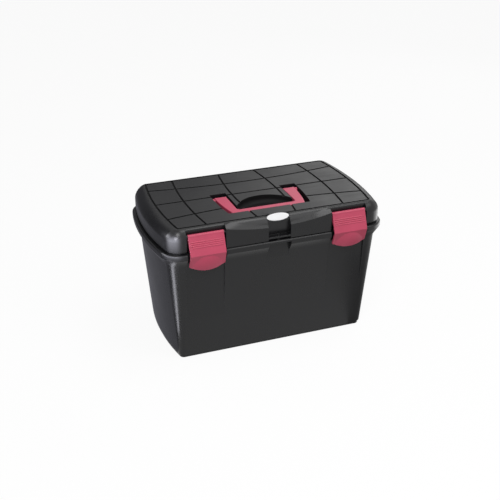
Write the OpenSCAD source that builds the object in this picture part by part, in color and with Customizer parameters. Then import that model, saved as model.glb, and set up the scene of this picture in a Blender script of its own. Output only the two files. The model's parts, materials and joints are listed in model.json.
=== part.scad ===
// Horse grooming box: a tapered tub, a tiled lid on two back hinges, two snap latches,
// a carry handle that folds into the lid, and a lift-out tray.
// X runs along the box, -Y is the front, Z is up, and the origin is under the middle of the base.

/* [Box] */
// Width over the rim flange, across the middle of the bowed ends
flange_w = 400; // [384:2:420]
// Depth over the rim flange, front to back
flange_d = 231; // [223:1:241]
// Height of the rim that the lid closes on
rim_z = 201; // [185:1:220]
// Height of the lid above the rim
lid_h = 39; // [37:0.5:44]
// Plan radius of the bowed ends at the flange
end_r = 440; // [380:4:560]
// Plan radius of the corners at the flange
corner_r = 36; // [33:0.5:40]

/* [Tub] */
// Wall thickness at the foot
wall_t = 3; // [2.4:0.2:3.6]
// Floor thickness
floor_t = 3.5; // [2.5:0.5:5]
// Reach of the flange beyond the wall below it
flange_reach = 10.5; // [9:0.5:12]
// Height of the flange's upright edge
flange_edge = 9; // [7:0.5:11]
// Height of the flange's slanted underside
flange_slope = 16; // [12:1:20]
// Radius of the flange's rolled top edge
flange_roll = 3.4; // [2:0.2:4]
// How far the wall draws in on its way down to the plinth
wall_draft = 15.5; // [11:0.5:18]
// Height of the plinth
plinth_h = 6; // [4:0.5:9]
// How far the plinth is set in from the wall
plinth_in = 2.5; // [1.5:0.5:3.5]
// Height of the lip that locates the lid
lip_h = 5; // [3:0.5:7]
// Thickness of that lip
lip_t = 2.2; // [1.6:0.2:3]
// Gap between that lip and the lid's wall
lip_gap = 0.8; // [0.6:0.1:1]
// Depth of the latch bays at the rim
bay_depth = 3.5; // [2.5:0.25:3.5]
// Height at which the latch bays fade into the wall
bay_fade_z = 75; // [50:5:110]

/* [Lid] */
// Wall thickness of the lid
lid_t = 3; // [2.4:0.2:3.4]
// Set-back of the lid's end walls from the flange
lid_end_in = 6; // [5.4:0.1:8]
// Set-back of the lid's front and back walls from the flange
lid_front_in = 4.6; // [4:0.1:6]
// Gap between lid and rim
lid_gap = 0.3; // [0.2:0.1:0.6]
// Height of the shadow groove along the lid's lower edge
shadow_h = 3.6; // [2:0.2:5]
// Depth of the shadow groove
shadow_in = 2.6; // [1.4:0.2:3]
// Height of the lid's upright wall above the rim
lid_wall_h = 21; // [18:0.5:24]
// Plan radius of the lid's corners
lid_corner_r = 26; // [23:0.5:30]
// Width of the shoulder between end wall and tiled top
shoulder_end = 19.5; // [16:0.5:22]
// Width of the shoulder between front wall and tiled top
shoulder_front = 12; // [11:0.5:14]
// Roundness of the shoulder: 1 is a flat chamfer, 2 is an ellipse
shoulder_power = 1.6; // [1.1:0.1:2]
// Corner radius of the tiled top
top_corner_r = 6; // [3:0.5:12]
// Plan radius of the bowed ends of the tiled top
top_end_r = 600; // [480:15:900]
// Height of the nose's front edge below the top, beside the latches
nose_drop_end = 6; // [4:0.5:8]
// Height of the nose's front edge below the top, in the middle
nose_drop_mid = 16; // [13:0.5:17]
// How far the nose stands proud of the lid's front wall
nose_proud = 1.4; // [0.8:0.2:1.6]
// How far the nose's facet is crowned
nose_crown = 1; // [0.4:0.2:1.6]

/* [Tiles] */
// Width of the grooves between the tiles
groove_w = 3.2; // [2:0.2:3.6]
// Depth of the grooves
groove_d = 1.8; // [0.8:0.1:1.8]
// Width of the rim that runs round the outside of the grooves
rim_w = 1; // [0.6:0.1:2]
// Distance of the inner column grooves from the middle
column_in = 40; // [37:0.5:44]
// Distance of the outer column grooves from the ends of the tiled top
column_end = 50.5; // [40:0.5:60]
// How far each column groove bows outward
column_bow = 7; // [4:0.5:10]
// Distance of the middle row groove behind the lid's middle line
row_mid_y = 4; // [0:0.5:6]
// Distance of the curved row grooves from the middle row, at the centre
row_y = 47.5; // [44:0.5:50]
// Plan radius of the curved row grooves
row_r = 1000; // [800:50:1400]

/* [Handle] */
// Width over the handle's arms at the pivots
handle_w = 142; // [136:1:146]
// Width over the handle's corners at the grip
handle_front_w = 126; // [122:1:132]
// Width of the arms at the pivots
arm_w = 20; // [18:0.5:22]
// Distance of the pivots behind the lid's middle line
pivot_y = 0; // [-4:0.5:4]
// Distance from the pivots to the front of the grip
handle_reach = 68; // [64:0.5:70]
// Depth of the grip, front to back
grip_d = 12.5; // [11:0.5:15]
// Thickness of the handle
handle_t = 11; // [9:0.5:12]
// How far the folded handle lies below the lid's top
handle_sink = 1.6; // [0.8:0.2:2.4]
// Gap between the arms and the sides of the recess
recess_side = 5.5; // [4:0.5:7]
// Gap in front of the grip
recess_front = 1.4; // [1:0.2:2.4]
// Gap behind the pivots, measured from the arms' round ends
recess_rear = 7; // [5:0.5:10]
// Clearance under the handle
recess_floor = 1.6; // [1:0.2:2.4]
// Clearance between the arms and the tile inside the handle
tile_gap = 2.5; // [1.5:0.25:4]
// Plan radius of the finger scoop behind the grip
scoop_r = 54; // [46:1:58]
// Radius of the rounding between that scoop's wall and its floor
scoop_round = 8; // [5:0.5:10]
// Pin radius of the handle pivots
handle_pin_r = 2; // [1.5:0.25:2.5]

/* [Latches] */
// Width of a latch
latch_w = 58.4; // [54:0.2:61]
// Distance of a latch's middle from the end of the flange
latch_end = 78; // [76:0.2:82]
// Gap between a latch and its pocket
latch_gap = 2.6; // [1.6:0.1:2.8]
// Gap at the bosses of the pivots, beside the latches and beside the handle
boss_gap = 0.5; // [0.4:0.1:0.8]
// How far the strip over a latch overhangs its barrel
strip_over = 1; // [0.4:0.2:1.4]
// Gap between that strip and the barrel below it
strip_gap = 3.6; // [2:0.2:4]
// Width of the lid's strip between tiled top and latch pocket
strip_w = 3; // [2.4:0.2:3.6]
// Height of the latch pin below the lid's top
latch_pin_drop = 12; // [11:0.2:13]
// Radius of the latch's hinge barrel
barrel_r = 3.4; // [3:0.1:4]
// Pin radius of the latch hinges
latch_pin_r = 1.5; // [1:0.25:2]
// Clearance between the barrel and the back of the pocket
barrel_gap = 0.6; // [0.4:0.1:1]
// Plate thickness of a latch
latch_t = 2.6; // [2.2:0.1:3]
// Height of the latch's kink below the rim
kink_drop = 1.6; // [0.6:0.2:4]
// How far the kink stands in front of the flange
kink_out = 5.2; // [4:0.2:6.4]
// Depth of the latch's foot below the rim
toe_drop = 30; // [28:0.5:32]
// Plate thickness at the foot
toe_t = 4.2; // [3.8:0.1:4.6]
// How far the foot recedes behind the kink
toe_back = 9.8; // [8:0.2:11]
// Drop of the curved lower edge from its corners to its middle
toe_sag = 7; // [4:0.5:9]
// Depth of the finger scoop in the foot
scoop_in = 2.2; // [1.2:0.1:2.4]
// Height of one grip rib
rib_h = 0.7; // [0.3:0.1:0.8]
// Pitch of the grip ribs
rib_pitch = 2.8; // [2.4:0.2:3.2]
// Drop of the first grip rib below the latch pin
rib_drop = 8; // [6.5:0.5:10]
// How far the rim is cut back behind the latches
keeper_in = 6; // [5:0.25:7]
// Height of the keeper under the rim
keeper_h = 13; // [11:0.5:14]
// Gap between the latch's hook and the keeper
hook_gap = 0.4; // [0.3:0.1:0.6]
// Height of the hook
hook_h = 4; // [3:0.5:5]

/* [Hinges] */
// Distance of a hinge's middle from the end of the flange
hinge_end = 105; // [85:1:130]
// Length of the lid's knuckle
lid_knuckle = 30; // [22:1:40]
// Length of each of the tub's knuckles
tub_knuckle = 14; // [10:1:18]
// Gap between knuckles
knuckle_gap = 0.5; // [0.3:0.1:1]
// Radius of the knuckles
knuckle_r = 5; // [4.5:0.25:5.5]
// Pin radius of the hinges
hinge_pin_r = 2; // [1.5:0.25:2.5]
// Distance of the hinge axis behind the flange
hinge_out = 2.5; // [2:0.25:4]
// Height of the hinge axis above the rim
hinge_up = 3; // [2.5:0.25:4]
// Radial running clearance of a pin
pin_play = 0.05; // [0.03:0.01:0.08]
// Radial clearance of a pin where it is held
pin_seat = 0.02; // [0.01:0.01:0.03]

/* [Padlock eye and badge] */
// Width of the padlock recess
lock_w = 38; // [34:1:42]
// Depth of the padlock recess at its floor
lock_d = 9.6; // [9:0.2:10]
// How far the back of the recess leans forward towards its top
lock_lean = 3.2; // [2:0.2:4]
// Thickness of the lid's padlock shelf
lock_eye_t = 3; // [2.4:0.2:4]
// Height of the slot under that shelf
lock_slot = 3; // [2:0.2:4]
// Radius of the padlock hole
lock_hole_r = 2.8; // [2.4:0.1:3]
// Distance of the padlock hole behind the flange's front
lock_hole_in = 7.9; // [7.6:0.1:8]
// Thickness of the tub's padlock ledge
lock_ledge_t = 4.5; // [3.5:0.5:6]
// Depth of the notch under that ledge, behind the flange's front
lock_notch_in = 11.3; // [11:0.1:11.6]
// Width of the oval badge
badge_w = 38; // [32:1:40]
// Height of the badge along the slope
badge_h = 12.8; // [11:0.2:13.2]
// Thickness of the badge
badge_t = 1.6; // [1.2:0.1:2.2]
// Edge of the raised pad round the badge
pad_edge = 1.4; // [1:0.1:2]
// Width of the moat round that pad
moat_w = 1.6; // [1:0.2:2]
// Depth of the moat
moat_d = 1; // [0.6:0.1:1.2]
// How far the badge stands up the slope beyond the facet's top edge
badge_up = 2.2; // [1:0.1:2.8]
// Depth of the badge's seat
badge_seat = 0.8; // [0.4:0.1:1]
// Clearance round the badge
badge_gap = 0.3; // [0.2:0.05:0.6]

/* [Tray] */
// Drop of the ledges that carry the tray below the rim
tray_drop = 61; // [60:1:86]
// Height of the tray
tray_h = 40; // [30:1:41]
// Wall thickness of the tray
tray_t = 2; // [1.6:0.2:2.6]
// Gap between tray and tub
tray_gap = 1.8; // [1.4:0.1:2]
// Gap between the tray's bottom and its ledges
tray_rest = 0.2; // [0.1:0.1:0.3]
// Reach of the ledges into the tub
ledge_in = 8; // [6:0.5:11]
// Thickness of the ledges
ledge_t = 6; // [4:0.5:8]
// Length of the ledges
ledge_len = 90; // [60:5:120]
// Share of the depth that the tray's long compartment takes
tray_split = 0.56; // [0.45:0.01:0.62]
// Length of the grip on the tray's long divider
tray_grip_w = 90; // [70:2:100]
// Height of that grip above the tray's rim
tray_grip_h = 14; // [11:0.5:16]
// Radius of that grip's round top
tray_grip_r = 4; // [3:0.25:5]

/* [Hidden] */
$fn = 64;
// Colours as they are seen
black = [0.17, 0.17, 0.18];
pink = [0.80, 0.33, 0.44];
steel = [0.72, 0.73, 0.75];
white = [0.95, 0.95, 0.95];
// Steps along half an end, round a corner, over the shoulder, along the nose,
// along the handle's sides, round the flange's rolled edge and round the badge
end_steps = 5;
corner_steps = 8;
shoulder_steps = 6;
nose_steps = 12;
bow_steps = 5;
roll_steps = 3;
oval_steps = 48;
// Overshoot of cuts beyond the solids that they open
over = 1;
far = 400;
// Rounding of the flange's lower edge, and the least plan radius of an inner corner
edge_round = 1;
small_r = 4;
// How far the nose starts in front of the tiled top
nose_lap = 0.2;
// Step between the finger scoop and the recess floor
scoop_step = 0.4;
// How far a pin's end stops short of its blind hole
pin_short = 0.2;
// Glue line under the badge and depth of the pad below its face
seat_gap = 0.05;
pad_deep = 4;

// Heights
top_z = rim_z + lid_h;
edge_z = rim_z - flange_edge;
wall_z = edge_z - flange_slope;
lid_z = rim_z + lid_gap;
shadow_z = lid_z + shadow_h;
shoulder_z = rim_z + lid_wall_h;
// Half sizes of the outlines
flange_hw = flange_w / 2;
flange_hd = flange_d / 2;
lid_hw = flange_hw - lid_end_in;
lid_hd = flange_hd - lid_front_in;
top_hw = lid_hw - shoulder_end;
top_hd = lid_hd - shoulder_front;
// Set-backs from the flange: lid's inside, lip, tub's inside at the rim and at the floor
lid_in = shadow_in + lid_t;
mouth_end_in = lid_end_in + lid_in + lip_gap + lip_t;
mouth_front_in = lid_front_in + lid_in + lip_gap + lip_t;
foot_in = flange_reach + wall_draft;
floor_in = foot_in + wall_t;
mouth_z = rim_z + lip_h;
// Latch pocket, pin and plate
latch_x = flange_hw - latch_end;
pocket_hw = latch_w / 2 + latch_gap;
pocket_y = -top_hd - strip_w;
latch_pin_y = pocket_y - barrel_gap - barrel_r;
latch_pin_z = top_z - latch_pin_drop;
latch_pin_end = pocket_hw + 0.8 * lid_t;
cheek_t = 2;
hook_in = 4;
hook_drop = 1;
rib_in = 3;
rib_n = 4;
rib_r = 1;
kink_y = -flange_hd - kink_out;
kink_z = rim_z - kink_drop;
toe_y = kink_y + toe_back;
toe_z = rim_z - toe_drop;
keeper_y = -flange_hd + keeper_in;
keeper_z = rim_z - keeper_h;
// Handle and its recess
handle_top = top_z - handle_sink;
handle_low = handle_top - handle_t;
pivot_z = handle_low + handle_t / 2;
recess_z = handle_low - recess_floor;
grip_y = pivot_y - handle_reach;
rear_y = pivot_y + handle_t / 2;
recess_hw = handle_w / 2 + recess_side;
recess_bow = 0.7 * (handle_w - handle_front_w) / 2;
recess_cut = 2;
pin_wall = 2.5 * lid_t;
handle_pin_end = recess_hw + 0.6 * pin_wall;
handle_pin_in = 4;
boss_root = 1;
boss_step = 1;
handle_bow = (handle_w - handle_front_w) / 2;
tile_hw = handle_w / 2 - arm_w - tile_gap;
tile_y = grip_y + grip_d + tile_gap;
// Middle of the groove round the tiled top, from the top's edge
edge_groove = rim_w + groove_w / 2;
// Height of the ledges that carry the tray
tray_z = rim_z - tray_drop;
// Widths of the tray's small cells that go into the flange's width
tray_cells = 3.4;
// Hinge axis
hinge_x = flange_hw - hinge_end;
hinge_y = flange_hd + hinge_out;
hinge_z = rim_z + hinge_up;
hinge_len = lid_knuckle + 2 * knuckle_gap + 2 * tub_knuckle;
// Padlock
lock_y = -flange_hd + lock_hole_in;
lock_eye_z = lid_z + lock_slot;
lock_floor_z = lock_eye_z + lock_eye_t;
nose_y = -lid_hd - nose_proud;
nose_hw = latch_x - pocket_hw;
badge_tilt = atan2(nose_drop_mid / 2 - nose_crown, (-nose_y - top_hd) / 2);

// One quarter of a box outline: half of a bowed end, then a corner
function quarter(hw, hd, er, cr) =
    let (
        cx = hw - er,
        cy = hd - cr,
        reach = er - cr,
        x = cx + sqrt(reach * reach - cy * cy),
        a = asin(cy / reach)
    )
    concat(
        [for (i = [0:end_steps]) [cx + er * cos(a * i / end_steps), er * sin(a * i / end_steps)]],
        [for (i = [1:corner_steps])
            let (b = a + (90 - a) * i / corner_steps) [x + cr * cos(b), cy + cr * sin(b)]]
    );

// A closed box outline with straight front and back, bowed ends and round corners
function outline(hw, hd, er, cr) =
    let (q = quarter(hw, hd, er, cr), n = len(q))
    concat(
        q,
        [for (i = [n - 1:-1:0]) [-q[i].x, q[i].y]],
        [for (i = [1:n - 1]) [-q[i].x, -q[i].y]],
        [for (i = [n - 1:-1:1]) [q[i].x, -q[i].y]]
    );

// The flange's outline, set in by the same amount all round
function flange_outline(inset) = flange_outline2(inset, inset);

// The flange's outline, set in by different amounts at the ends and at the front and back
function flange_outline2(end_in, front_in) =
    outline(
        flange_hw - end_in,
        flange_hd - front_in,
        end_r - end_in,
        max(corner_r - max(end_in, front_in), small_r)
    );

// The tub's inside at a height, as set-backs from the flange, grown inward by more
function inside_outline(z, more) =
    let (t = (z - floor_t) / (mouth_z - floor_t))
    flange_outline2(
        floor_in + t * (mouth_end_in - floor_in) + more,
        floor_in + t * (mouth_front_in - floor_in) + more
    );

// The lid's outline: 0 is its wall and 1 the edge of the tiled top, grown inward by more
function lid_outline(share, more) =
    outline(
        lid_hw - share * shoulder_end - more,
        lid_hd - share * shoulder_front - more,
        end_r - lid_end_in + share * (top_end_r - end_r) - more,
        max(lid_corner_r + share * (top_corner_r - lid_corner_r) - more, small_r / 2)
    );

// The shoulder's profile as [share of its width, share of its height]
function shoulder(step) =
    let (a = 90 * step / shoulder_steps)
    [1 - pow(cos(a), 2 / shoulder_power), pow(sin(a), 2 / shoulder_power)];

// A solid skinned over outlines at rising heights: each ring is [outline, z]
module skin(rings) {
    n = len(rings[0][0]);
    m = len(rings);
    points = [for (r = rings) for (p = r[0]) [p.x, p.y, r[1]]];
    sides = [for (k = [0:m - 2]) for (i = [0:n - 1])
        let (a = k * n + i, b = k * n + (i + 1) % n)
        each [[a, a + n, b + n], [a, b + n, b]]];
    caps = [[for (i = [0:n - 1]) i], [for (i = [n - 1:-1:0]) (m - 1) * n + i]];
    polyhedron(points, concat(sides, caps), convexity = 6);
}

// A profile drawn in Y and Z, extruded along X and centred there
module along_x(length) {
    translate([-length / 2, 0, 0])
        rotate([90, 0, 90])
            linear_extrude(length)
                children();
}

// A round bar along X, centred there
module bar(radius, length) {
    rotate([0, 90, 0])
        cylinder(r = radius, h = length, center = true);
}

// A box from one corner to the opposite one
module block(low, high) {
    translate(low)
        cube(high - low);
}

// Puts its children at both latches
module at_latches() {
    for (side = [-1, 1])
        translate([side * latch_x, 0, 0])
            children();
}

// Puts its children at both hinges
module at_hinges() {
    for (side = [-1, 1])
        translate([side * hinge_x, 0, 0])
            children();
}

// Puts its children at the middle of a hinge's two tub knuckles
module at_tub_knuckles() {
    for (side = [-1, 1])
        translate([side * (hinge_len - tub_knuckle) / 2, 0, 0])
            children();
}

module tub_outside() {
    lip = flange_outline2(mouth_end_in - lip_t, mouth_front_in - lip_t);
    skin(concat(
        [
            [flange_outline(foot_in + plinth_in), 0],
            [flange_outline(foot_in + plinth_in), plinth_h],
            [flange_outline(foot_in), plinth_h],
            [flange_outline(flange_reach), wall_z],
            [flange_outline(edge_round), edge_z - edge_round],
            [flange_outline(0), edge_z]
        ],
        [for (i = [0:roll_steps])
            let (a = 90 * i / roll_steps)
            [flange_outline(flange_roll * (1 - cos(a))), rim_z - flange_roll * (1 - sin(a))]],
        [[lip, rim_z], [lip, mouth_z]]
    ));
}

module tub_inside() {
    skin([
        [inside_outline(floor_t, 0), floor_t],
        [inside_outline(mouth_z + over, 0), mouth_z + over]
    ]);
}

// Shelves on the end walls that the tray stands on
module tray_ledges() {
    translate([0, 0, tray_z - ledge_t])
        linear_extrude(ledge_t)
            difference() {
                square([flange_w, ledge_len], center = true);
                polygon(inside_outline(tray_z, ledge_in));
            }
}

// The latch bay's floor leans less than the wall, so the bay fades out downward
module latch_bay() {
    rise = wall_z - plinth_h;
    fade_y = -flange_hd + flange_reach + wall_draft * (wall_z - bay_fade_z) / rise;
    head_y = -flange_hd + flange_reach - wall_draft * (keeper_z - wall_z) / rise + bay_depth;
    along_x(2 * pocket_hw)
        polygon([[fade_y, bay_fade_z], [head_y, keeper_z], [-far, keeper_z], [-far, bay_fade_z]]);
    block([-pocket_hw, -far, keeper_z - over], [pocket_hw, keeper_y, mouth_z + over]);
}

// The lip stops short of the latch pockets and the padlock recess
module lip_break() {
    half = latch_x + pocket_hw + lid_t + lip_gap;
    block([-half, -far, rim_z], [half, -flange_hd + mouth_front_in + lip_gap, mouth_z + over]);
}

// The notch's back is upright, so it fades out in the leaning wall below the flange
module padlock_notch() {
    block([-lock_w / 2, -far, plinth_h], [lock_w / 2, -flange_hd + lock_notch_in, rim_z - lock_ledge_t]);
}

module padlock_hole() {
    translate([0, lock_y, rim_z - lock_ledge_t - over])
        cylinder(r = lock_hole_r, h = lock_ledge_t + lock_slot + lock_eye_t + 3 * over);
}

module tub_knuckle_profile() {
    web_y = knuckle_r * 0.9;
    web_z = knuckle_r * 0.4;
    translate([hinge_y, hinge_z])
        circle(knuckle_r);
    polygon([
        [flange_hd - hinge_out, edge_z],
        [flange_hd - edge_round / 2, edge_z],
        [hinge_y + web_y, hinge_z - web_z],
        [hinge_y, hinge_z],
        [hinge_y - web_y, hinge_z - web_z],
        [flange_hd - hinge_out, rim_z - edge_round]
    ]);
}

module hinge_bore(radius, length) {
    translate([0, hinge_y, hinge_z])
        bar(radius, length);
}

module tub() {
    color(black)
        difference() {
            union() {
                tub_outside();
                at_hinges()
                    at_tub_knuckles()
                        along_x(tub_knuckle)
                            tub_knuckle_profile();
            }
            difference() {
                tub_inside();
                tray_ledges();
            }
            at_latches()
                latch_bay();
            lip_break();
            padlock_notch();
            padlock_hole();
            at_hinges() {
                hinge_bore(hinge_pin_r + pin_seat, hinge_len + over);
                hinge_bore(knuckle_r + knuckle_gap, lid_knuckle + 2 * knuckle_gap);
            }
        }
}

module lid_shell() {
    skin(concat(
        [
            [lid_outline(0, shadow_in), lid_z],
            [lid_outline(0, shadow_in), shadow_z],
            [lid_outline(0, 0), shadow_z]
        ],
        [for (i = [0:shoulder_steps])
            [lid_outline(shoulder(i)[0], 0), shoulder_z + shoulder(i)[1] * (top_z - shoulder_z)]]
    ));
}

module lid_hollow() {
    roof_z = top_z - lid_t;
    low_z = shoulder_z - lid_t;
    skin(concat(
        [[lid_outline(0, lid_in), lid_z - over]],
        [for (i = [0:2:shoulder_steps])
            [lid_outline(shoulder(i)[0], lid_in), low_z + shoulder(i)[1] * (roof_z - low_z)]]
    ));
}

// The nose between the latches: its sloping facet dips towards the middle
module nose() {
    back_y = -top_hd - nose_lap;
    mid_y = (back_y + nose_y) / 2;
    xs = [for (i = [0:nose_steps]) nose_hw * (2 * i / nose_steps - 1)];
    points = [for (x = xs)
        let (edge_z = top_z - nose_drop_mid + (nose_drop_mid - nose_drop_end) * pow(x / nose_hw, 2))
        each [
            [x, back_y, lid_z], [x, nose_y, lid_z], [x, nose_y, edge_z],
            [x, mid_y, (edge_z + top_z) / 2 + nose_crown], [x, back_y, top_z]
        ]];
    sides = [for (i = [0:nose_steps - 1]) for (k = [0:4])
        let (a = 5 * i + k, b = 5 * i + (k + 1) % 5)
        each [[a, b, b + 5], [a, b + 5, a + 5]]];
    ends = [[4, 3, 2, 1, 0], [for (k = [0:4]) 5 * nose_steps + k]];
    polyhedron(points, concat(sides, ends), convexity = 4);
}

// The hollow's inner walls round the handle recess, the latch pockets and the padlock recess
module wells() {
    difference() {
        block(
            [-recess_hw - pin_wall, grip_y - recess_front - lid_t, recess_z - lid_t],
            [recess_hw + pin_wall, rear_y + recess_rear + lid_t, top_z]
        );
        block(
            [-tile_hw + lid_t, grip_y + scoop_r + lid_t, 0],
            [tile_hw - lid_t, rear_y + recess_rear, top_z]
        );
    }
    at_latches()
        block([-pocket_hw - lid_t, -far, lid_z], [pocket_hw + lid_t, pocket_y + lid_t, top_z]);
    block([-lock_w / 2 - lid_t, -far, lid_z], [lock_w / 2 + lid_t, nose_y + lock_d + lid_t, top_z]);
}

// A plan that is straight at the back, bows in along its sides and has cut front corners
module bowed_plan(hw, bow, back_y, front_y, cut) {
    run = pivot_y - front_y;
    edge = [for (i = [0:bow_steps])
        let (t = i / bow_steps) [hw - bow * t * t, pivot_y - t * (run - cut)]];
    side = concat([[hw, back_y]], edge, [[hw - bow - cut, front_y]]);
    n = len(side);
    polygon(concat(side, [for (i = [n - 1:-1:0]) [-side[i].x, side[i].y]]));
}

module handle_recess() {
    front_y = grip_y - recess_front;
    back_y = rear_y + recess_rear;
    translate([0, 0, recess_z])
        linear_extrude(top_z - recess_z + over)
            difference() {
                bowed_plan(recess_hw, recess_bow, back_y, front_y, recess_cut);
                translate([-tile_hw, tile_y])
                    square([2 * tile_hw, far]);
            }
}

// A round pit with a rounded floor, behind the grip, for the fingers
module finger_scoop() {
    depth = top_z - recess_z - scoop_step + over;
    intersection() {
        translate([0, grip_y - recess_front, recess_z + scoop_step])
            rotate_extrude($fn = 96) {
                square([scoop_r - scoop_round, depth]);
                translate([0, scoop_round])
                    square([scoop_r, depth - scoop_round]);
                translate([scoop_r - scoop_round, scoop_round])
                    circle(scoop_round);
            }
        block(
            [-tile_hw - tile_gap, grip_y + grip_d / 2, recess_z],
            [tile_hw + tile_gap, grip_y + 2 * scoop_r, top_z + over]
        );
    }
}

// A groove in the tiled top along an arc that crosses the X axis at x and bends back by bow at the ends
module column_groove(x) {
    run = top_hd - edge_groove;
    r = (run * run + column_bow * column_bow) / (2 * column_bow);
    a = asin(run / r);
    translate([x - r, 0, top_z - groove_d])
        rotate([0, 0, -a])
            rotate_extrude(angle = 2 * a, $fn = 96)
                translate([r - groove_w / 2, 0])
                    square([groove_w, groove_d + over]);
}

module row_groove() {
    end_y = row_mid_y + row_y + top_hw * top_hw / (2 * row_r);
    a = asin((top_hw - edge_groove - end_y * end_y / (2 * top_end_r)) / row_r);
    translate([0, row_y + row_r, top_z - groove_d])
        rotate([0, 0, -90 - a])
            rotate_extrude(angle = 2 * a, $fn = 96)
                translate([row_r - groove_w / 2, 0])
                    square([groove_w, groove_d + over]);
}

module tile_grooves() {
    for (side = [0, 1])
        mirror([side, 0, 0]) {
            column_groove(column_in);
            column_groove(top_hw - column_end);
        }
    translate([0, row_mid_y, 0]) {
        for (side = [0, 1])
            mirror([0, side, 0])
                row_groove();
        block(
            [-top_hw + edge_groove, -groove_w / 2, top_z - groove_d],
            [top_hw - edge_groove, groove_w / 2, top_z + over]
        );
    }
    translate([0, 0, top_z - groove_d])
        linear_extrude(groove_d + over)
            difference() {
                polygon(lid_outline(1, rim_w));
                polygon(lid_outline(1, rim_w + groove_w));
            }
}

// Places its children on the sloping facet of the nose, Z along the facet's normal
module on_nose() {
    translate([0, -top_hd, top_z])
        rotate([badge_tilt, 0, 0])
            translate([0, badge_up - badge_h / 2, 0])
                children();
}

// An oval slab, wide along X
module oval(w, h, t) {
    linear_extrude(t)
        polygon([for (i = [1:oval_steps])
            let (a = 360 * i / oval_steps) [w / 2 * cos(a), h / 2 * sin(a)]]);
}

// An oval larger than the badge by edge, between two heights above the facet
module badge_pad(edge, low, high) {
    on_nose()
        translate([0, 0, low])
            oval(badge_w + 2 * edge, badge_h + 2 * edge, high - low);
}

// The pocket that a latch folds into, less the two bosses for its pin
module latch_pocket() {
    lip_y = pocket_y - strip_over;
    lip_z = latch_pin_z + barrel_r + strip_gap;
    difference() {
        along_x(2 * pocket_hw)
            polygon([
                [pocket_y, 0], [pocket_y, lip_z], [lip_y, lip_z], [lip_y, top_z + over],
                [-far, top_z + over], [-far, 0]
            ]);
        for (side = [-1, 1])
            translate([side * (pocket_hw - (latch_gap - boss_gap) / 2), latch_pin_y, latch_pin_z])
                bar(barrel_r - boss_gap, latch_gap - boss_gap);
    }
}

module lid_knuckle_profile() {
    web_y = knuckle_r * 0.3;
    web_z = knuckle_r * 0.95;
    translate([hinge_y, hinge_z])
        circle(knuckle_r);
    polygon([
        [lid_hd - shadow_in - lid_t / 2, lid_z + knuckle_gap],
        [hinge_y, hinge_z - knuckle_r / 2],
        [hinge_y + web_y, hinge_z + web_z],
        [lid_hd - lid_t / 2, hinge_z + 2 * knuckle_r]
    ]);
}

// The recess is open at the top; a shelf with the padlock hole crosses it above a slot
module padlock_recess() {
    back_y = nose_y + lock_d;
    along_x(lock_w)
        polygon([[back_y, lock_floor_z], [back_y - lock_lean, top_z], [-far, top_z], [-far, lock_floor_z]]);
    block([-lock_w / 2, -far, lid_z - over], [lock_w / 2, back_y, lock_eye_z]);
}

module lid() {
    color(black)
        difference() {
            union() {
                difference() {
                    union() {
                        lid_shell();
                        nose();
                    }
                    difference() {
                        lid_hollow();
                        wells();
                    }
                    padlock_recess();
                    tile_grooves();
                    badge_pad(pad_edge + moat_w, -moat_d, over);
                }
                badge_pad(pad_edge, -pad_deep, 0);
                at_hinges()
                    along_x(lid_knuckle)
                        lid_knuckle_profile();
            }
            at_latches() {
                latch_pocket();
                translate([0, latch_pin_y, latch_pin_z])
                    bar(latch_pin_r + pin_seat, 2 * latch_pin_end);
            }
            handle_recess();
            finger_scoop();
            translate([0, pivot_y, pivot_z])
                bar(handle_pin_r + pin_seat, 2 * handle_pin_end);
            badge_pad(badge_gap, -badge_seat, badge_t);
            padlock_hole();
            at_hinges()
                hinge_bore(hinge_pin_r + pin_play, hinge_len);
        }
}

// Front of the latch plate at a height between pin and kink
function plate_y(z) =
    latch_pin_y - barrel_r + (kink_y - latch_pin_y + barrel_r) * (latch_pin_z - z) / (latch_pin_z - kink_z);

// Front of the latch's foot at a height between kink and lower edge
function foot_y(z) = kink_y + toe_back * (kink_z - z) / (kink_z - toe_z);

module latch_profile() {
    polygon([
        [latch_pin_y - barrel_r, latch_pin_z],
        [kink_y, kink_z],
        [toe_y, toe_z],
        [toe_y + toe_t, toe_z],
        [kink_y + latch_t, kink_z],
        [latch_pin_y - barrel_r + latch_t, latch_pin_z - barrel_r / 2],
        [latch_pin_y, latch_pin_z]
    ]);
    translate([latch_pin_y, latch_pin_z])
        circle(barrel_r);
}

module latch_cheek_profile() {
    low_z = mouth_z + cheek_t;
    polygon([
        [latch_pin_y - barrel_r + latch_t / 2, latch_pin_z],
        [plate_y(low_z) + latch_t / 2, low_z],
        [latch_pin_y, (low_z + latch_pin_z) / 2],
        [latch_pin_y + barrel_r * 0.9, latch_pin_z]
    ]);
}

// The hook grows from the foot's slanted back and ends in front of the keeper
module hook_profile() {
    high_z = keeper_z - hook_drop;
    low_z = high_z - hook_h;
    tip_y = keeper_y - hook_gap;
    polygon([
        [foot_y(low_z) + latch_t / 2, low_z], [foot_y(high_z) + latch_t / 2, high_z],
        [tip_y, high_z], [tip_y, low_z]
    ]);
}

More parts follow.
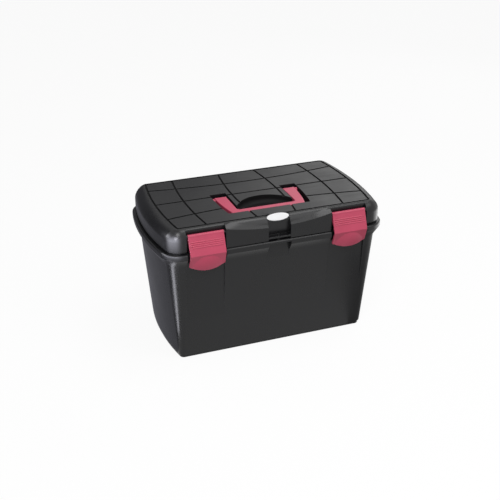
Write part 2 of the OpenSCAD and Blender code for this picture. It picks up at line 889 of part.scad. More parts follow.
module latch() {
    toe_r = (latch_w * latch_w / 4 + toe_sag * toe_sag) / (2 * toe_sag);
    lean = atan2(toe_back, kink_z - toe_z);
    scoop_up = 2;
    scoop_rim = 1;
    scoop_plan = kink_z - toe_z - scoop_up - scoop_rim;
    scoop_ball = (scoop_plan * scoop_plan + scoop_in * scoop_in) / (2 * scoop_in);
    color(pink)
        difference() {
            union() {
                intersection() {
                    along_x(latch_w)
                        latch_profile();
                    translate([0, 0, toe_z + toe_r])
                        rotate([90, 0, 0])
                            cylinder(r = toe_r, h = far, center = true, $fn = 128);
                }
                for (side = [-1, 1])
                    translate([side * (latch_w - cheek_t) / 2, 0, 0])
                        along_x(cheek_t)
                            latch_cheek_profile();
                along_x(latch_w - 2 * hook_in)
                    hook_profile();
                for (i = [0:rib_n - 1])
                    let (z = latch_pin_z - rib_drop - i * rib_pitch)
                        translate([0, plate_y(z) + rib_r - rib_h, z])
                            bar(rib_r, latch_w - 2 * rib_in);
            }
            translate([0, toe_y, toe_z])
                rotate([lean, 0, 0])
                    translate([0, scoop_in - scoop_ball, scoop_up])
                        sphere(scoop_ball, $fn = 128);
            translate([0, latch_pin_y, latch_pin_z])
                bar(latch_pin_r + pin_play, latch_w + over);
        }
}

module latch_left() {
    translate([-latch_x, 0, 0])
        latch();
}

module latch_right() {
    translate([latch_x, 0, 0])
        latch();
}

module latch_pin(side) {
    color(steel)
        translate([side * latch_x, latch_pin_y, latch_pin_z])
            bar(latch_pin_r, 2 * (latch_pin_end - pin_short));
}

module latch_pin_left() {
    latch_pin(-1);
}

module latch_pin_right() {
    latch_pin(1);
}

module handle_plan() {
    inner_hw = handle_w / 2 - arm_w;
    inner_y = grip_y + grip_d;
    cut = grip_d / 4;
    difference() {
        bowed_plan(handle_w / 2, handle_bow, rear_y, grip_y, cut);
        polygon([
            [-inner_hw, rear_y + over], [-inner_hw, inner_y + cut], [-inner_hw + cut, inner_y],
            [inner_hw - cut, inner_y], [inner_hw, inner_y + cut], [inner_hw, rear_y + over]
        ]);
    }
}

module handle_side() {
    translate([pivot_y, pivot_z])
        circle(handle_t / 2);
    translate([grip_y, handle_low])
        square([handle_reach, handle_t]);
}

module handle() {
    boss = recess_side - boss_gap;
    color(pink)
        difference() {
            union() {
                intersection() {
                    translate([0, 0, handle_low - over])
                        linear_extrude(handle_t + 2 * over)
                            handle_plan();
                    along_x(2 * handle_w)
                        handle_side();
                }
                for (side = [-1, 1])
                    translate([side * (handle_w + boss - boss_root) / 2, pivot_y, pivot_z])
                        bar(handle_t / 2 - boss_step, boss + boss_root);
            }
            translate([0, pivot_y, pivot_z])
                bar(handle_pin_r + pin_play, 2 * handle_w);
        }
}

module handle_pin(side) {
    inner = handle_w / 2 - arm_w + handle_pin_in;
    outer = handle_pin_end - pin_short;
    color(steel)
        translate([side * (inner + outer) / 2, pivot_y, pivot_z])
            bar(handle_pin_r, outer - inner);
}

module handle_pin_left() {
    handle_pin(-1);
}

module handle_pin_right() {
    handle_pin(1);
}

module hinge_pin(side) {
    color(steel)
        translate([side * hinge_x, hinge_y, hinge_z])
            bar(hinge_pin_r, hinge_len);
}

module hinge_pin_left() {
    hinge_pin(-1);
}

module hinge_pin_right() {
    hinge_pin(1);
}

module badge() {
    color(white)
        badge_pad(0, seat_gap - badge_seat, badge_t - badge_seat);
}

module tray() {
    low_z = tray_z + tray_rest;
    high_z = low_z + tray_h;
    room_d = 2 * (flange_hd - mouth_front_in - tray_gap - tray_t);
    split_y = room_d * (tray_split - 0.5);
    cell_w = flange_w / tray_cells;
    color(black) {
        difference() {
            skin([
                [inside_outline(low_z, tray_gap), low_z],
                [inside_outline(high_z, tray_gap), high_z]
            ]);
            translate([0, 0, low_z + tray_t])
                linear_extrude(tray_h)
                    intersection() {
                        polygon(inside_outline(low_z, tray_gap + tray_t));
                        union() {
                            translate([-far, split_y + tray_t / 2])
                                square([2 * far, far]);
                            for (i = [-1:1])
                                translate([i * cell_w, -far / 2 + split_y - tray_t / 2])
                                    square([cell_w - tray_t, far], center = true);
                        }
                    }
        }
        translate([0, split_y, high_z + tray_grip_h - tray_grip_r])
            bar(tray_grip_r, tray_grip_w);
        block(
            [-tray_grip_w / 2, split_y - tray_t / 2, high_z - tray_t],
            [tray_grip_w / 2, split_y + tray_t / 2, high_z + tray_grip_h - tray_grip_r]
        );
    }
}

tub();
lid();
latch_left();
latch_right();
latch_pin_left();
latch_pin_right();
handle();
handle_pin_left();
handle_pin_right();
hinge_pin_left();
hinge_pin_right();
badge();
tray();
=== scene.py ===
"""Looks of a horse grooming box: a satin black tub and tiled lid, with pink latches and handle.

Every length is in metres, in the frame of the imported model: X runs along the box, -Y is the
front, Z is up, and the origin lies under the middle of the base.
"""

import json
import logging
import math
from dataclasses import dataclass
from enum import Enum

import bmesh
import bpy
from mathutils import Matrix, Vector


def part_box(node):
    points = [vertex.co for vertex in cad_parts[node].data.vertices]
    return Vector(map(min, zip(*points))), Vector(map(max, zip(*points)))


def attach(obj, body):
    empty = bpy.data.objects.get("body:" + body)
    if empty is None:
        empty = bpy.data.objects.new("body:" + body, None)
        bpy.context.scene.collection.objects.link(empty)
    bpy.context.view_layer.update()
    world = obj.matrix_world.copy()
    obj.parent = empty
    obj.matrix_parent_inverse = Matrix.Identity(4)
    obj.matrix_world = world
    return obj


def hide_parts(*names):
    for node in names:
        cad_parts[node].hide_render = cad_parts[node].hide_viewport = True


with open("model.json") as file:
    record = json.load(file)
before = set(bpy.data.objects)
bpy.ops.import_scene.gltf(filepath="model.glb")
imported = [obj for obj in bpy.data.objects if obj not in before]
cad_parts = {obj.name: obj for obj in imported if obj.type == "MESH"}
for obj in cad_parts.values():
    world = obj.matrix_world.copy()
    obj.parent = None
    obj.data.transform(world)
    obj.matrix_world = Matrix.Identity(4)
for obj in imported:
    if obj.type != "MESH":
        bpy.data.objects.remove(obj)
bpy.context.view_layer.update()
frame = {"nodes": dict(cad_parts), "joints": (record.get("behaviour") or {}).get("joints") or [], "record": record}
LOG = logging.getLogger("grooming_box")
MM = 0.001
WHITE = (1.0, 1.0, 1.0)
Colour = tuple[float, float, float]
Point = tuple[float, float, float]
Span = tuple[float, float]
BODIES = frame["record"]["behaviour"]["bodies"]
BODY_OF = {node: body for body, nodes in BODIES.items() for node in nodes}
AXES = [Vector(joint["pos_m"]) for joint in frame["joints"] if joint["type"] == "hinge"]


class Direction(Enum):
    """Axis along which a mould's polish leaves its fine lines, as scales along X, Y and Z."""

    ALONG = (30.0, 900.0, 900.0)
    BRUSHED = (14.0, 240.0, 240.0)
    UPRIGHT = (700.0, 700.0, 40.0)


class Side(Enum):
    """End of the box that one of a pair of pieces stands at."""

    LEFT = "left"
    RIGHT = "right"


class LidFace(Enum):
    """Kind of face on the lid, as the place of its finish in the lid's list."""

    BODY = 0
    TILE = 1
    # Faces in the grooves and in the recess round the folded handle: their darker finish is painted shade.
    SUNK = 2


class Graph:
    """A node tree that is built one node at a time."""

    def __init__(self, tree: bpy.types.NodeTree) -> None:
        """Empties the tree."""
        self.tree = tree
        self.tree.nodes.clear()

    def add(
        self, kind: str, inputs: dict[str | int, object] | None = None, **settings: object
    ) -> bpy.types.Node:
        """Adds a node.

        Args:
            kind: the node's type name, without the leading ShaderNode.
            inputs: values for its sockets; a value that is a socket is linked.
            settings: values for the node's own properties.

        Returns:
            The new node.
        """
        node = self.tree.nodes.new("ShaderNode" + kind)
        for name, value in settings.items():
            setattr(node, name, value)
        for name, value in (inputs or {}).items():
            self.plug(node.inputs[name], value)
        return node

    def plug(self, socket: bpy.types.NodeSocket, value: object) -> None:
        """Links a socket to another one, or sets its own value.

        Args:
            socket: the socket that is fed.
            value: another socket, a colour, a vector or a number.
        """
        if isinstance(value, bpy.types.NodeSocket):
            self.tree.links.new(value, socket)
        elif isinstance(value, tuple) and len(value) == 3 and socket.type == "RGBA":
            socket.default_value = (*value, 1.0)
        else:
            socket.default_value = value

    def blend(self, share: object, first: object, second: object) -> bpy.types.NodeSocket:
        """Mixes two colours.

        Args:
            share: share of the second colour.
            first: colour at share 0.
            second: colour at share 1.

        Returns:
            The socket of the mixed colour.
        """
        node = self.add("Mix", data_type="RGBA")
        factor, low, high = (s for s in node.inputs if s.enabled)
        self.plug(factor, share)
        self.plug(low, first)
        self.plug(high, second)
        return next(s for s in node.outputs if s.enabled)

    def spread(
        self, value: object, low: float, high: float,
        start: float = 0.0, end: float = 1.0, shape: str = "LINEAR",
    ) -> bpy.types.NodeSocket:
        """Maps a value.

        Args:
            value: socket that is mapped.
            low: result at start.
            high: result at end.
            start: value that gives low.
            end: value that gives high.
            shape: name of the curve between them.

        Returns:
            The socket of the result, held between low and high.
        """
        return self.add(
            "MapRange",
            {"Value": value, "From Min": start, "From Max": end, "To Min": low, "To Max": high},
            interpolation_type=shape,
        ).outputs["Result"]

    def reckon(self, operation: str, first: object, second: object) -> bpy.types.NodeSocket:
        """Does a sum, such as MULTIPLY, on two sockets or numbers."""
        return self.add("Math", {0: first, 1: second}, operation=operation).outputs["Value"]

    def noise(self, place: object, size: float, detail: float) -> bpy.types.NodeSocket:
        """A noise whose features have about that size in metres."""
        inputs = {"Vector": place, "Scale": 1.0 / size, "Detail": detail}
        return self.add("TexNoise", inputs).outputs["Fac"]

    def streaks(
        self, place: object, direction: Direction, scale: float, detail: float
    ) -> bpy.types.NodeSocket:
        """A noise that is drawn out along one axis.

        Args:
            place: socket of the place on the piece.
            direction: axis along which it is drawn out.
            scale: fineness of the streaks, on top of the direction's own.
            detail: number of finer layers.

        Returns:
            The socket of the noise.
        """
        drawn = self.add("Mapping", {"Vector": place, "Scale": direction.value})
        inputs = {"Vector": drawn.outputs["Vector"], "Scale": scale, "Detail": detail}
        return self.add("TexNoise", inputs).outputs["Fac"]

    def surface(self, kind: str, shader: bpy.types.NodeSocket) -> None:
        """Feeds a shader to the tree's output, which is of the kind Material or World."""
        self.add("Output" + kind, {"Surface": shader})


def start_material(name: str) -> tuple[bpy.types.Material, Graph]:
    """Makes a material with an empty node tree.

    Args:
        name: name of the material.

    Returns:
        The material and its tree.
    """
    material = bpy.data.materials.new(name)
    material.use_nodes = True
    return material, Graph(material.node_tree)


def set_out(name: str, data: bpy.types.ID) -> bpy.types.Object:
    """Makes an object from a mesh, lamp or camera, and puts it into the scene.

    Args:
        name: name of the object.
        data: the mesh, lamp or camera.

    Returns:
        The new object.
    """
    thing = bpy.data.objects.new(name, data)
    bpy.context.scene.collection.objects.link(thing)
    return thing


def aim(thing: bpy.types.Object, direction: Vector) -> None:
    """Turns a lamp or a camera so that it looks along a direction."""
    thing.rotation_mode = "QUATERNION"
    thing.rotation_quaternion = direction.to_track_quat("-Z", "Y")


@dataclass(frozen=True)
class MouldedPlastic:
    """A moulded plastic: its colour, its gloss, and the grain and lines that its mould leaves."""

    name: str
    colour: Colour
    worn: Colour
    roughness: float
    gloss_spread: float
    grain: float
    grain_depth: float
    line_depth: float
    lines: Direction
    edge: float
    wear: float
    shine: float = 0.33
    cloud: float = 60 * MM
    cloud_band: Span = (0.3, 0.7)
    cloud_shade: float = 0.88
    speck: float = 3 * MM
    speck_band: Span = (0.35, 0.65)
    speck_low: float = 0.2
    edge_turn: Span = (0.80, 0.995)
    line_gloss: float = 0.25
    gloss_band: Span = (0.2, 0.8)

    def build(self) -> bpy.types.Material:
        """Makes the material.

        Returns:
            A material with softened and worn edges, fine grain, polish lines and uneven gloss.
        """
        material, graph = start_material(self.name)
        place = graph.add("TexCoord").outputs["Object"]
        soft = graph.add("Bevel", {"Radius": self.edge}, samples=4).outputs["Normal"]
        flat = graph.add("NewGeometry").outputs["Normal"]
        turn = graph.add("VectorMath", {0: soft, 1: flat}, operation="DOT_PRODUCT").outputs["Value"]
        cloud = graph.noise(place, self.cloud, 3.0)
        speck = graph.noise(place, self.speck, 4.0)
        rub = graph.reckon(
            "MULTIPLY",
            graph.spread(turn, 1.0, 0.0, *self.edge_turn),
            graph.spread(speck, self.speck_low, 1.0, *self.speck_band),
        )
        lines = graph.streaks(place, self.lines, 1.0, 2.0)
        normal = soft
        for height, depth in (
            (graph.noise(place, self.grain, 2.0), self.grain_depth),
            (lines, self.line_depth),
        ):
            bump = {"Height": height, "Distance": depth, "Strength": 1.0, "Normal": normal}
            normal = graph.add("Bump", bump).outputs["Normal"]
        shade = graph.blend(
            graph.spread(cloud, 0.0, 1.0, *self.cloud_band),
            tuple(self.cloud_shade * c for c in self.colour),
            self.colour,
        )
        uneven = graph.reckon(
            "ADD", cloud, graph.spread(lines, -self.line_gloss, self.line_gloss)
        )
        smooth, rough = self.roughness - self.gloss_spread, self.roughness + self.gloss_spread
        shader = graph.add(
            "BsdfPrincipled",
            {
                "Base Color": graph.blend(graph.spread(rub, 0.0, self.wear), shade, self.worn),
                "Roughness": graph.spread(uneven, smooth, rough, *self.gloss_band),
                "Specular IOR Level": self.shine,
                "Normal": normal,
            },
        )
        graph.surface("Material", shader.outputs["BSDF"])
        return material


@dataclass(frozen=True)
class DrawnSteel:
    """Drawn steel wire with fine lines along it and a little grime."""

    name: str
    colour: Colour
    grime: Colour
    roughness: Span
    line_depth: float = 0.02 * MM
    line_band: Span = (0.3, 0.7)
    cloud: float = 6 * MM
    grime_band: Span = (0.45, 0.75)
    grime_share: float = 0.5

    def build(self) -> bpy.types.Material:
        """Makes the material.

        Returns:
            A metal material with fine lines along the wire.
        """
        material, graph = start_material(self.name)
        place = graph.add("TexCoord").outputs["Object"]
        lines = graph.streaks(place, Direction.ALONG, 2.0, 3.0)
        cloud = graph.noise(place, self.cloud, 3.0)
        bump = graph.add("Bump", {"Height": lines, "Distance": self.line_depth})
        dirt = graph.spread(cloud, 0.0, self.grime_share, *self.grime_band)
        shader = graph.add(
            "BsdfPrincipled",
            {
                "Base Color": graph.blend(dirt, self.colour, self.grime),
                "Roughness": graph.spread(lines, *self.roughness, *self.line_band),
                "Metallic": 1.0,
                "Normal": bump.outputs["Normal"],
            },
        )
        graph.surface("Material", shader.outputs["BSDF"])
        return material


Finish = MouldedPlastic | DrawnSteel

BLACK_PLASTIC = MouldedPlastic(
    name="satin black plastic",
    colour=(0.0085, 0.0085, 0.0095), worn=(0.03, 0.03, 0.032),
    roughness=0.29, gloss_spread=0.04,
    grain=0.6 * MM, grain_depth=0.0015 * MM,
    line_depth=0.001 * MM, lines=Direction.UPRIGHT,
    edge=0.6 * MM, wear=0.4,
)
TILE_PLASTIC = MouldedPlastic(
    name="grained black plastic",
    colour=(0.0095, 0.0095, 0.0100), worn=(0.03, 0.03, 0.032),
    roughness=0.43, gloss_spread=0.08,
    grain=0.45 * MM, grain_depth=0.008 * MM,
    line_depth=0.012 * MM, lines=Direction.BRUSHED,
    edge=0.5 * MM, wear=0.4,
)
# Darker, matt and less shiny black for the lid's grooves and for the recess round the folded handle, so that they
# read as shaded: painted shade.
RECESS_PAINTED_SHADE_PLASTIC = MouldedPlastic(
    name="matt black plastic with painted shade",
    colour=(0.0040, 0.0040, 0.0044), worn=(0.006, 0.006, 0.0065),
    roughness=0.62, gloss_spread=0.05,
    grain=0.45 * MM, grain_depth=0.008 * MM,
    line_depth=0.004 * MM, lines=Direction.ALONG,
    edge=0.3 * MM, wear=0.2, shine=0.14,
)
PINK_PLASTIC = MouldedPlastic(
    name="raspberry plastic",
    colour=(0.55, 0.066, 0.128), worn=(0.72, 0.20, 0.28),
    roughness=0.40, gloss_spread=0.05,
    grain=0.45 * MM, grain_depth=0.006 * MM,
    line_depth=0.004 * MM, lines=Direction.ALONG,
    edge=0.5 * MM, wear=0.5, shine=0.40,
)
WHITE_PLASTIC = MouldedPlastic(
    name="white badge plastic",
    colour=(0.86, 0.86, 0.87), worn=(0.92, 0.92, 0.92),
    roughness=0.25, gloss_spread=0.05,
    grain=0.6 * MM, grain_depth=0.003 * MM,
    line_depth=0.002 * MM, lines=Direction.ALONG,
    edge=0.3 * MM, wear=0.3,
)
TRAY_PLASTIC = MouldedPlastic(
    name="tray plastic",
    colour=(0.013, 0.013, 0.014), worn=(0.04, 0.04, 0.043),
    roughness=0.46, gloss_spread=0.06,
    grain=0.6 * MM, grain_depth=0.010 * MM,
    line_depth=0.004 * MM, lines=Direction.UPRIGHT,
    edge=0.6 * MM, wear=0.4,
)
PIN_STEEL = DrawnSteel(
    name="drawn steel", colour=(0.55, 0.56, 0.58), grime=(0.20, 0.19, 0.18), roughness=(0.22, 0.42)
)


@dataclass
class SubAssembly:
    """Pieces that are made and dressed together, with the edges of their mouldings rounded."""

    crease: float = math.radians(34.0)
    shaded_crease: float = math.radians(24.0)
    weld: float = 0.03 * MM
    level: float = math.radians(0.6)
    room: float = 1.6
    straight_on: float = -0.8
    bore_reach: float = 5.8 * MM
    edge_steps: int = 2
    face_weight: int = 80

    def has_room(
        self, edge: bmesh.types.BMEdge, sharp: set[bmesh.types.BMEdge], radius: float
    ) -> bool:
        """Tells whether an edge can be rounded without running into its neighbours.

        Args:
            edge: the edge that would be rounded.
            sharp: all sharp edges of the solid.
            radius: radius of the rounding.

        Returns:
            True unless a short edge crosses one of its ends.
        """
        for vert in edge.verts:
            away = (edge.other_vert(vert).co - vert.co).normalized()
            for other in vert.link_edges:
                if other is edge or other.calc_length() > self.room * radius:
                    continue
                onward = (other.other_vert(vert).co - vert.co).normalized()
                if other not in sharp or away.dot(onward) > self.straight_on:
                    return False
        return True

    def at_bore(self, edge: bmesh.types.BMEdge) -> bool:
        """Tells whether an edge belongs to a pivot's bore or boss.

        Args:
            edge: an edge of a solid.

        Returns:
            True where both its ends lie close to the axis of a hinge.
        """
        return any(
            all(math.hypot(v.co.y - axis.y, v.co.z - axis.z) < self.bore_reach for v in edge.verts)
            for axis in AXES
        )

    def reshape(self, node: str, solid: bmesh.types.BMesh) -> None:
        """Changes a solid's copy before its edges are rounded; most pieces stay as they are."""

    def soften(self, node: str, radius: float) -> bpy.types.Mesh:
        """Copies a solid's mesh and rounds its outer edges.

        Args:
            node: name of the solid.
            radius: radius of the rounding.

        Returns:
            The new mesh, shaded smooth between its creases.
        """
        solid = bmesh.new()
        solid.from_mesh(frame["nodes"][node].data)
        bmesh.ops.remove_doubles(solid, verts=solid.verts, dist=self.weld)
        bmesh.ops.dissolve_degenerate(solid, dist=self.weld, edges=solid.edges)
        bmesh.ops.dissolve_limit(
            solid, angle_limit=self.level, verts=solid.verts, edges=solid.edges, delimit=set()
        )
        self.reshape(node, solid)
        sharp = {e for e in solid.edges if e.is_manifold and e.calc_face_angle() > self.crease}
        outer = [
            e for e in solid.edges
            if e in sharp and e.is_convex and not self.at_bore(e) and self.has_room(e, sharp, radius)
        ]
        bmesh.ops.bevel(
            solid, geom=outer, offset=radius, offset_type="OFFSET", segments=self.edge_steps,
            profile=0.5, affect="EDGES", clamp_overlap=False, loop_slide=True,
        )
        for face in solid.faces:
            face.smooth = True
            face.material_index = 0
        mesh = bpy.data.meshes.new(node)
        solid.to_mesh(mesh)
        solid.free()
        mesh.set_sharp_from_angle(angle=self.shaded_crease)
        return mesh

    def dress(self, node: str, radius: float, *finishes: Finish) -> bpy.types.Object:
        """Makes a piece that stands for a solid, with its finish.

        Args:
            node: name of the solid.
            radius: radius of its rounded edges.
            finishes: the piece's finish, and any others that some of its faces take.

        Returns:
            The piece, which rides on the solid's body.
        """
        mesh = self.soften(node, radius)
        for finish in finishes:
            mesh.materials.append(finish.build())
        piece = set_out(f"{node}_moulding", mesh)
        normals = piece.modifiers.new("even shading", "WEIGHTED_NORMAL")
        normals.keep_sharp = True
        normals.weight = self.face_weight
        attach(piece, BODY_OF[node])
        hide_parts(node)
        return piece

    def build(self) -> list[bpy.types.Object]:
        """Makes every piece of the sub-assembly, and returns them."""
        raise NotImplementedError


@dataclass
class Tub(SubAssembly):
    """The tapered tub with its rim flange, latch bays and hinge knuckles, and the hinge pins."""

    edge: float = 0.4 * MM
    pin_edge: float = 0.3 * MM

    def build(self) -> list[bpy.types.Object]:
        """Makes the tub and its hinge pins, and returns them."""
        tub = self.dress("tub", self.edge, BLACK_PLASTIC)
        return [tub, *(self.dress(f"hinge_pin_{s.value}", self.pin_edge, PIN_STEEL) for s in Side)]


@dataclass
class Lid(SubAssembly):
    """The tiled lid and the oval badge on its nose."""

    edge: float = 0.35 * MM
    badge_edge: float = 0.35 * MM
    tile_rise: float = 1.6 * MM
    tile_depth: float = 0.8 * MM
    groove_depth: float = 2.2 * MM
    groove_flat: float = 0.97
    groove_steep: float = 0.5
    recess_room: float = 4.0 * MM
    recess_under: float = 1.8 * MM

    def kind(self, face: bpy.types.MeshPolygon, low: Point, high: Point) -> LidFace:
        """Tells which finish a face takes.

        Args:
            face: a face of the lid.
            low: least corner of the folded handle's box.
            high: greatest corner of that box.

        Returns:
            TILE on top of a tile; for a face in a groove or in the recess round the folded handle,
            the kind whose darker finish paints shade there; and BODY elsewhere.
        """
        depth = high[2] + self.tile_rise - face.center.z
        up = face.normal.z
        if up > math.cos(self.crease) and depth < self.tile_depth:
            return LidFace.TILE
        # Faces in a groove, and deeper faces round the folded handle, take the darker finish that paints shade.
        if depth < self.groove_depth:
            gets_painted_shade = up > self.groove_flat or abs(up) < self.groove_steep
        else:
            gets_painted_shade = face.center.z > low[2] - self.recess_under and all(
                low[i] - self.recess_room < face.center[i] < high[i] + self.recess_room
                for i in range(2)
            )
        return LidFace.SUNK if gets_painted_shade else LidFace.BODY

    def build(self) -> list[bpy.types.Object]:
        """Makes the lid, whose tiles have a finish of their own and whose grooves and recesses are painted darker
        as shade, and the badge.

        Returns:
            The lid and the badge.
        """
        lid = self.dress("lid", self.edge, BLACK_PLASTIC, TILE_PLASTIC, RECESS_PAINTED_SHADE_PLASTIC)
        low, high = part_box("handle")
        for face in lid.data.polygons:
            face.material_index = self.kind(face, low, high).value
        return [lid, self.dress("badge", self.badge_edge, WHITE_PLASTIC)]


@dataclass
class Latch(SubAssembly):
    """A snap latch and the pin that it turns on."""

    side: Side = Side.LEFT
    shaded_crease: float = math.radians(6.5)
    edge: float = 0.2 * MM
    pin_edge: float = 0.2 * MM
    foot_lean: float = 0.345
    foot_front: float = -0.6
    rest_depth: float = 2.5 * MM
    rest_swell: float = 2.2

    def reshape(self, node: str, solid: bmesh.types.BMesh) -> None:
        """Swells the finger rest, so that it stands out of the foot as a rounded lobe.

        Args:
            node: name of the solid; the pin has no foot and stays as it is.
            solid: its copy.
        """
        if node != f"latch_{self.side.value}":
            return
        kink = min(solid.verts, key=lambda v: v.co.y).co.copy()
        depth = {
            v: v.co.y - kink.y - self.foot_lean * (kink.z - v.co.z) for v in solid.verts
        }
        dish = [
            face for face in solid.faces
            if face.normal.y < self.foot_front
            and all(v.co.z < kink.z and depth[v] < self.rest_depth for v in face.verts)
        ]
        for vert in {v for face in dish for v in face.verts if depth[v] > self.weld}:
            vert.co.y -= (1.0 + self.rest_swell) * depth[vert]

    def build(self) -> list[bpy.types.Object]:
        """Makes the latch and its pin, and returns them."""
        latch = self.dress(f"latch_{self.side.value}", self.edge, PINK_PLASTIC)
        return [latch, self.dress(f"latch_pin_{self.side.value}", self.pin_edge, PIN_STEEL)]


@dataclass
class CarryHandle(SubAssembly):
    """The folding carry handle and its two pivot pins."""

    edge: float = 0.8 * MM
    pin_edge: float = 0.3 * MM

    def build(self) -> list[bpy.types.Object]:
        """Makes the handle and its pins, and returns them."""
        handle = self.dress("handle", self.edge, PINK_PLASTIC)
        pins = (self.dress(f"handle_pin_{s.value}", self.pin_edge, PIN_STEEL) for s in Side)
        return [handle, *pins]


@dataclass
class Tray(SubAssembly):
    """The lift-out tray."""

    edge: float = 0.5 * MM

    def build(self) -> list[bpy.types.Object]:
        """Makes the tray, and returns it in a list."""
        return [self.dress("tray", self.edge, TRAY_PLASTIC)]


@dataclass(frozen=True)
class Softbox:
    """A soft studio lamp that looks at the box."""

    name: str
    place: Point
    size: Span
    watts: float
    target: Point = (0.0, 0.0, 0.15)

    def build(self) -> None:
        """Makes the lamp."""
        lamp = bpy.data.lights.new(self.name, "AREA")
        lamp.shape = "RECTANGLE"
        lamp.size, lamp.size_y = self.size
        lamp.energy = self.watts
        thing = set_out(self.name, lamp)
        thing.location = self.place
        thing.visible_camera = False
        aim(thing, Vector(self.target) - Vector(self.place))


@dataclass(frozen=True)
class Card:
    """A studio card, dark or bright, that is bent round a centre and only shows in gloss.

    Its bearings are in degrees from +Y towards +X. Its reach and heights are the distances from
    the centre and the heights of its two long edges.
    """

    name: str
    glow: Colour
    bearings: Span
    reach: Span
    heights: Span
    centre: Span = (0.0, 0.0)
    fade: float = 0.0
    steps: int = 24

    def solidity(self, graph: Graph) -> bpy.types.NodeSocket | float:
        """How solid the card is.

        Args:
            graph: node tree of the card's material.

        Returns:
            A value that is 1 in the middle and falls to 0 over the card's fading edges.
        """
        if not self.fade:
            return 1.0
        spot = graph.add("UVMap", uv_map="card").outputs["UV"]
        place = graph.add("SeparateXYZ", {"Vector": spot})
        solid = 1.0
        for axis in ("X", "Y"):
            for start, end in ((0.0, self.fade), (1.0, 1.0 - self.fade)):
                edge = graph.spread(place.outputs[axis], 0.0, 1.0, start, end, "SMOOTHSTEP")
                solid = graph.reckon("MULTIPLY", solid, edge)
        return solid

    def sheet(self) -> bpy.types.Mesh:
        """Makes the bent sheet.

        Returns:
            A strip of faces from the first bearing to the last.
        """
        card = bmesh.new()
        first, last = (math.radians(b) for b in self.bearings)
        rows = []
        for i in range(self.steps + 1):
            a = first + (last - first) * i / self.steps
            rows.append([
                card.verts.new(
                    (self.centre[0] + r * math.sin(a), self.centre[1] + r * math.cos(a), z)
                )
                for r, z in zip(self.reach, self.heights)
            ])
        spot = card.loops.layers.uv.new("card")
        for i, (one, two) in enumerate(zip(rows, rows[1:])):
            face = card.faces.new((*one, *reversed(two)))
            for loop, (u, v) in zip(face.loops, ((i, 0), (i, 1), (i + 1, 1), (i + 1, 0))):
                loop[spot].uv = (u / self.steps, v)
        mesh = bpy.data.meshes.new(self.name)
        card.to_mesh(mesh)
        card.free()
        return mesh

    def build(self) -> None:
        """Makes the card."""
        mesh = self.sheet()
        material, graph = start_material(self.name)
        sheen = graph.add("Emission", {"Color": self.glow, "Strength": 1.0}).outputs["Emission"]
        clear = graph.add("BsdfTransparent").outputs["BSDF"]
        mixed = graph.add("MixShader", {0: self.solidity(graph), 1: clear, 2: sheen})
        graph.surface("Material", mixed.outputs["Shader"])
        mesh.materials.append(material)
        thing = set_out(self.name, mesh)
        thing.visible_camera = False
        thing.visible_diffuse = False
        thing.visible_shadow = False


LAMPS = (
    Softbox(name="overhead", place=(0.45, -0.25, 1.65), size=(0.9, 0.5), watts=7.0),
    Softbox(name="front_top", place=(0.80, -1.05, 1.40), size=(1.0, 0.8), watts=5.0),
    Softbox(name="front", place=(-0.8, -1.5, 1.7), size=(0.9, 0.7), watts=20.0),
    Softbox(name="back_right", place=(1.25, 1.35, 0.85), size=(0.9, 0.7), watts=2.2),
)
# The dark cards keep the white floor and surroundings out of the ends' gloss. The bright ones lie
# close to the front corners and low, so that the tiles don't mirror them from other sides.
ON_FLOOR = (2 * MM, 2 * MM)
OVER_FLOOR = (4 * MM, 4 * MM)
LID_CORNER = (-0.18, -0.10)
CARDS = (
    Card(
        name="left wall", glow=(0.15, 0.15, 0.165),
        bearings=(-75.0, 19.0), reach=(1.5, 1.5), heights=(0.0, 1.1),
    ),
    Card(
        name="left floor", glow=(0.28, 0.28, 0.315), centre=(0.24, 0.0),
        bearings=(-100.0, -10.0), reach=(0.4145, 1.7), heights=ON_FLOOR,
    ),
    Card(
        name="tub corner", glow=(9.0, 9.0, 9.8), centre=(-0.17, -0.095),
        bearings=(-108.0, -84.0), reach=(0.05, 0.26), heights=OVER_FLOOR,
    ),
    Card(
        name="lid corner", glow=(11.5, 11.5, 13.0), centre=LID_CORNER, fade=0.36,
        bearings=(-198.0, -58.0), reach=(0.075, 0.075), heights=(0.160, 0.276),
    ),
    Card(
        name="corner spot", glow=(40.0, 40.0, 44.0), centre=LID_CORNER, fade=0.30,
        bearings=(-166.0, -138.0), reach=(0.070, 0.070), heights=(0.236, 0.258),
    ),
    Card(
        name="flange roll", glow=(10.0, 10.0, 10.8), centre=LID_CORNER, fade=0.30,
        bearings=(-92.0, -44.0), reach=(0.080, 0.080), heights=(0.230, 0.275),
    ),
    Card(
        name="right floor", glow=(0.40, 0.40, 0.40), centre=(0.10, 0.0),
        bearings=(25.0, 155.0), reach=(0.06, 0.36), heights=ON_FLOOR,
    ),
    Card(
        name="right corner", glow=(3.2, 3.2, 3.2), centre=(0.17, -0.10),
        bearings=(50.0, 110.0), reach=(0.38, 0.75), heights=ON_FLOOR,
    ),
    Card(
        name="right wall", glow=(0.15, 0.15, 0.15),
        bearings=(20.0, 75.0), reach=(1.3, 1.3), heights=(0.0, 0.3),
    ),
)


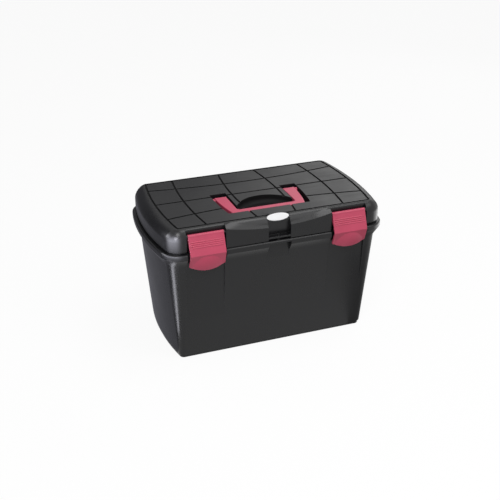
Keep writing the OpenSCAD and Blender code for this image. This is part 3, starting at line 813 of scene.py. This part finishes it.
@dataclass
class Studio:
    """White floor and surroundings, soft lamps, and the camera at the photograph's angle."""

    lens_mm: float = 65.6
    azimuth: float = math.radians(-20.61)
    elevation: float = math.radians(26.16)
    distance: float = 1.57404
    target: Point = (-0.00877, 0.0, 0.13274)
    floor_half: float = 6.0
    floor_cells: int = 8
    floor_colour: Colour = (0.36, 0.36, 0.36)
    floor_white: float = 0.92
    surround: float = 0.32

    def camera(self) -> None:
        """Makes the camera."""
        lens = bpy.data.cameras.new("camera")
        lens.lens = self.lens_mm
        lens.sensor_fit = "HORIZONTAL"
        thing = set_out("camera", lens)
        level = math.cos(self.elevation)
        back = Vector((
            math.sin(self.azimuth) * level, -math.cos(self.azimuth) * level, math.sin(self.elevation)
        ))
        thing.location = Vector(self.target) + back * self.distance
        aim(thing, -back)
        bpy.context.scene.camera = thing

    def lamps(self) -> None:
        """Makes the lamps, and the cards that shade the ends and brighten the corners."""
        for light in (*LAMPS, *CARDS):
            light.build()

    def seen(self, graph: Graph) -> bpy.types.NodeSocket:
        """Tells apart what is seen from what only lights the box.

        Args:
            graph: node tree of the floor or the surroundings.

        Returns:
            A value that is 1 for what is seen straight, in gloss or through glass, and else 0.
        """
        path = graph.add("LightPath")
        seen = path.outputs["Is Camera Ray"]
        for ray in ("Is Glossy Ray", "Is Transmission Ray"):
            seen = graph.reckon("MAXIMUM", seen, path.outputs[ray])
        return seen

    def surroundings(self) -> None:
        """Makes the white surroundings, which light the box softly."""
        world = bpy.data.worlds.new("surroundings")
        world.use_nodes = True
        graph = Graph(world.node_tree)
        strength = graph.spread(self.seen(graph), self.surround, 1.0)
        shade = graph.add("Background", {"Color": WHITE, "Strength": strength})
        graph.surface("World", shade.outputs["Background"])
        bpy.context.scene.world = world

    def floor(self) -> None:
        """Makes the floor, which is white to the camera and keeps the box's shadow."""
        mesh = bpy.data.meshes.new("floor")
        grid = bmesh.new()
        bmesh.ops.create_grid(
            grid, x_segments=self.floor_cells, y_segments=self.floor_cells, size=self.floor_half
        )
        grid.to_mesh(mesh)
        grid.free()
        material, graph = start_material("studio floor")
        seen = self.seen(graph)
        paper = graph.add("BsdfDiffuse", {"Color": graph.blend(seen, self.floor_colour, WHITE)})
        glow = graph.add("Emission", {"Color": WHITE, "Strength": 1.0})
        share = graph.spread(seen, 0.0, self.floor_white)
        mixed = graph.add(
            "MixShader", {0: share, 1: paper.outputs["BSDF"], 2: glow.outputs["Emission"]}
        )
        graph.surface("Material", mixed.outputs["Shader"])
        mesh.materials.append(material)
        floor = set_out("floor", mesh)

    def build(self) -> None:
        """Sets the whole studio up."""
        bpy.context.scene.view_settings.view_transform = "Standard"
        self.camera()
        self.lamps()
        self.surroundings()
        self.floor()
        LOG.info("studio: camera, lamps, surroundings and floor")


def main() -> None:
    """Builds the studio and every sub-assembly of the box, and reports each piece."""
    logging.basicConfig(level=logging.INFO, format="%(name)s: %(message)s")
    Studio().build()
    latches = [Latch(side=side) for side in Side]
    for part in (Tub(), Lid(), *latches, CarryHandle(), Tray()):
        for piece in part.build():
            finishes = ", ".join(material.name for material in piece.data.materials)
            LOG.info("%s: %d faces, %s", piece.name, len(piece.data.polygons), finishes)


if __name__ == "__main__":
    main()
